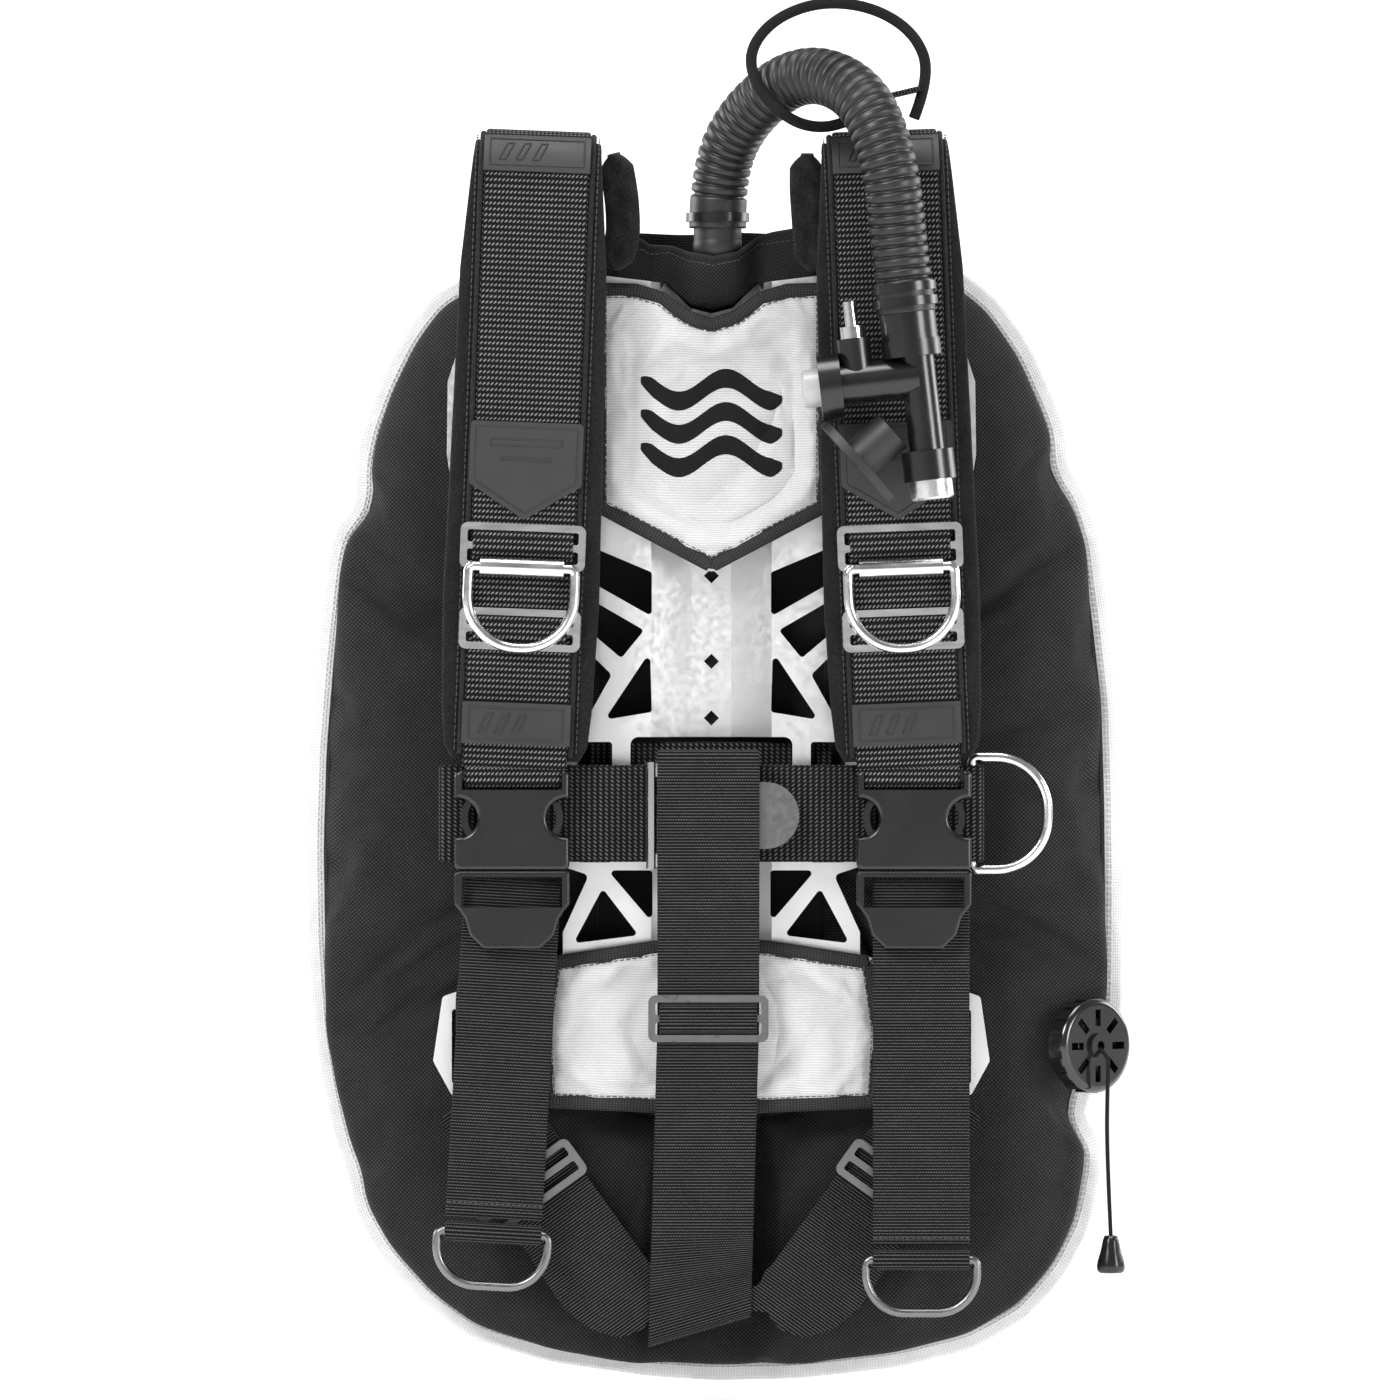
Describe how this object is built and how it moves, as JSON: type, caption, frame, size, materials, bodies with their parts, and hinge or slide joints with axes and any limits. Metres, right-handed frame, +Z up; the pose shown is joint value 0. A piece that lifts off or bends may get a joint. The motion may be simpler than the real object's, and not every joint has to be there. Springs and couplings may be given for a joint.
{
  "type": "buoyancy compensator vest",
  "caption": "Backplate and wing buoyancy compensator: donut air cell, steel plate, padded webbing harness, corrugated hose with power inflator, and a pull dump valve.",
  "frame": {"origin": "middle of the two tank bolt holes, on the tank side of the wing's centre panel", "axes": "+Z up along the diver's spine, +Y towards the tank, +X towards the inflator strap"},
  "size_m": [0.4004, 0.1516, 0.6662],
  "materials": {
    "steel_plate": "satin bead-blasted stainless",
    "stainless": "polished stainless",
    "dark_steel": "dark coated steel",
    "wing_fabric": "coarse black nylon weave",
    "binding_tape": "off-white stitched tape",
    "bladder_film": "smooth welded film",
    "pad_fabric": "pale grey twill over foam",
    "shoulder_pad_fabric": "black fleece-edged pad",
    "webbing_dash": "coarse two-tone rib",
    "webbing": "dense black webbing",
    "rubber": "satin moulded",
    "black_plastic": "satin moulded",
    "gloss_plastic": "polished moulded",
    "grey_plastic": "satin moulded",
    "hose_rubber": "corrugated",
    "cord_black": "braided"
  },
  "bodies": {
    "root": {"wing_front_shell": "wing_fabric", "wing_back_shell": "wing_fabric", "inner_bladder": "bladder_film", "wing_edge_binding": "binding_tape", "wing_centre_panel": "wing_fabric", "backplate": "steel_plate", "upper_back_pad": "pad_fabric", "lumbar_pad": "pad_fabric", "left_shoulder_pad": "shoulder_pad_fabric", "right_shoulder_pad": "shoulder_pad_fabric", "left_shoulder_webbing": "webbing_dash", "right_shoulder_webbing": "webbing_dash", "webbing_keepers": "rubber", "strap_labels": "rubber", "d_ring_sliders": "stainless", "strap_sliders": "stainless", "left_buckle_socket": "black_plastic", "right_buckle_socket": "black_plastic", "rear_belt": "webbing", "left_lower_strap": "webbing", "right_lower_strap": "webbing", "waist_belt": "webbing", "waist_buckle_frame": "stainless", "waist_buckle_roller": "stainless", "waist_lever_pin": "stainless", "crotch_strap": "webbing", "crotch_slider": "dark_steel", "crotch_y_webbing": "webbing", "leg_sliders": "dark_steel", "inflator_hose": "hose_rubber", "wing_elbow": "black_plastic", "elbow_flange": "black_plastic", "bungee_loop": "cord_black", "hose_ties": "black_plastic", "inflator_body": "black_plastic", "inflate_valve_housing": "black_plastic", "inflator_lower_cap": "black_plastic", "inflate_spring": "stainless", "deflate_spring": "stainless", "hose_nipple": "stainless", "mouthpiece": "rubber", "dump_valve_body": "gloss_plastic", "dump_valve_cap": "gloss_plastic", "dump_valve_spring": "stainless"},
    "inflate_button": {"inflate_button": "grey_plastic"},
    "deflate_button": {"deflate_button": "stainless"},
    "dump_pull": {"dump_valve_disc": "rubber", "dump_cord": "cord_black", "dump_toggle": "black_plastic"},
    "left_shoulder_ring": {"left_shoulder_d_ring": "stainless"},
    "right_shoulder_ring": {"right_shoulder_d_ring": "stainless"},
    "waist_ring": {"waist_d_ring": "stainless"},
    "waist_lever": {"waist_buckle_lever": "black_plastic"},
    "left_clip": {"left_buckle_clip": "black_plastic", "left_tail_webbing": "webbing"},
    "right_clip": {"right_buckle_clip": "black_plastic", "right_tail_webbing": "webbing"},
    "left_tail_ring": {"left_tail_d_ring": "dark_steel"},
    "right_tail_ring": {"right_tail_d_ring": "dark_steel"}
  },
  "joints": [
    {"name": "inflate_press", "type": "slide", "parent": "root", "child": "inflate_button", "axis": [0.9934, 0, 0.1149], "range_m": [0, 0.0035], "stiffness_N_per_m": 1200, "deforming": ["inflate_spring"]},
    {"name": "deflate_press", "type": "slide", "parent": "root", "child": "deflate_button", "axis": [-0.1149, 0, 0.9934], "range_m": [0, 0.0045], "stiffness_N_per_m": 900, "deforming": ["deflate_spring"]},
    {"name": "dump_valve_pull", "type": "slide", "parent": "root", "child": "dump_pull", "axis": [0.6691, -0.7431, 0], "range_m": [0, 0.004], "stiffness_N_per_m": 1500, "deforming": ["dump_valve_spring"]},
    {"name": "left_shoulder_ring_hinge", "type": "hinge", "parent": "root", "child": "left_shoulder_ring", "pos_m": [-0.09065, -0.0619, 0.05703], "axis": [-0.9993, 0, 0.0384], "range_deg": [0, 120]},
    {"name": "right_shoulder_ring_hinge", "type": "hinge", "parent": "root", "child": "right_shoulder_ring", "pos_m": [0.09065, -0.0619, 0.05703], "axis": [-0.9993, 0, -0.0384], "range_deg": [0, 120]},
    {"name": "waist_ring_hinge", "type": "hinge", "parent": "root", "child": "waist_ring", "pos_m": [0.12485, -0.036, -0.0607], "axis": [0, 0, 1], "range_deg": [-60, 15]},
    {"name": "waist_lever_hinge", "type": "hinge", "parent": "root", "child": "waist_lever", "pos_m": [-0.02, -0.0508, -0.0615], "axis": [0, 0, -1], "range_deg": [0, 3]},
    {"name": "left_buckle_release", "type": "slide", "parent": "root", "child": "left_clip", "axis": [0, 0, -1], "range_m": [0, 0.035]},
    {"name": "right_buckle_release", "type": "slide", "parent": "root", "child": "right_clip", "axis": [0, 0, -1], "range_m": [0, 0.035]},
    {"name": "left_tail_ring_hinge", "type": "hinge", "parent": "left_clip", "child": "left_tail_ring", "pos_m": [-0.10466, -0.049, -0.26174], "axis": [-0.9984, 0, 0.0558], "range_deg": [0, 120]},
    {"name": "right_tail_ring_hinge", "type": "hinge", "parent": "right_clip", "child": "right_tail_ring", "pos_m": [0.1005, -0.049, -0.2745], "axis": [-1, 0, 0], "range_deg": [0, 120]}
  ]
}
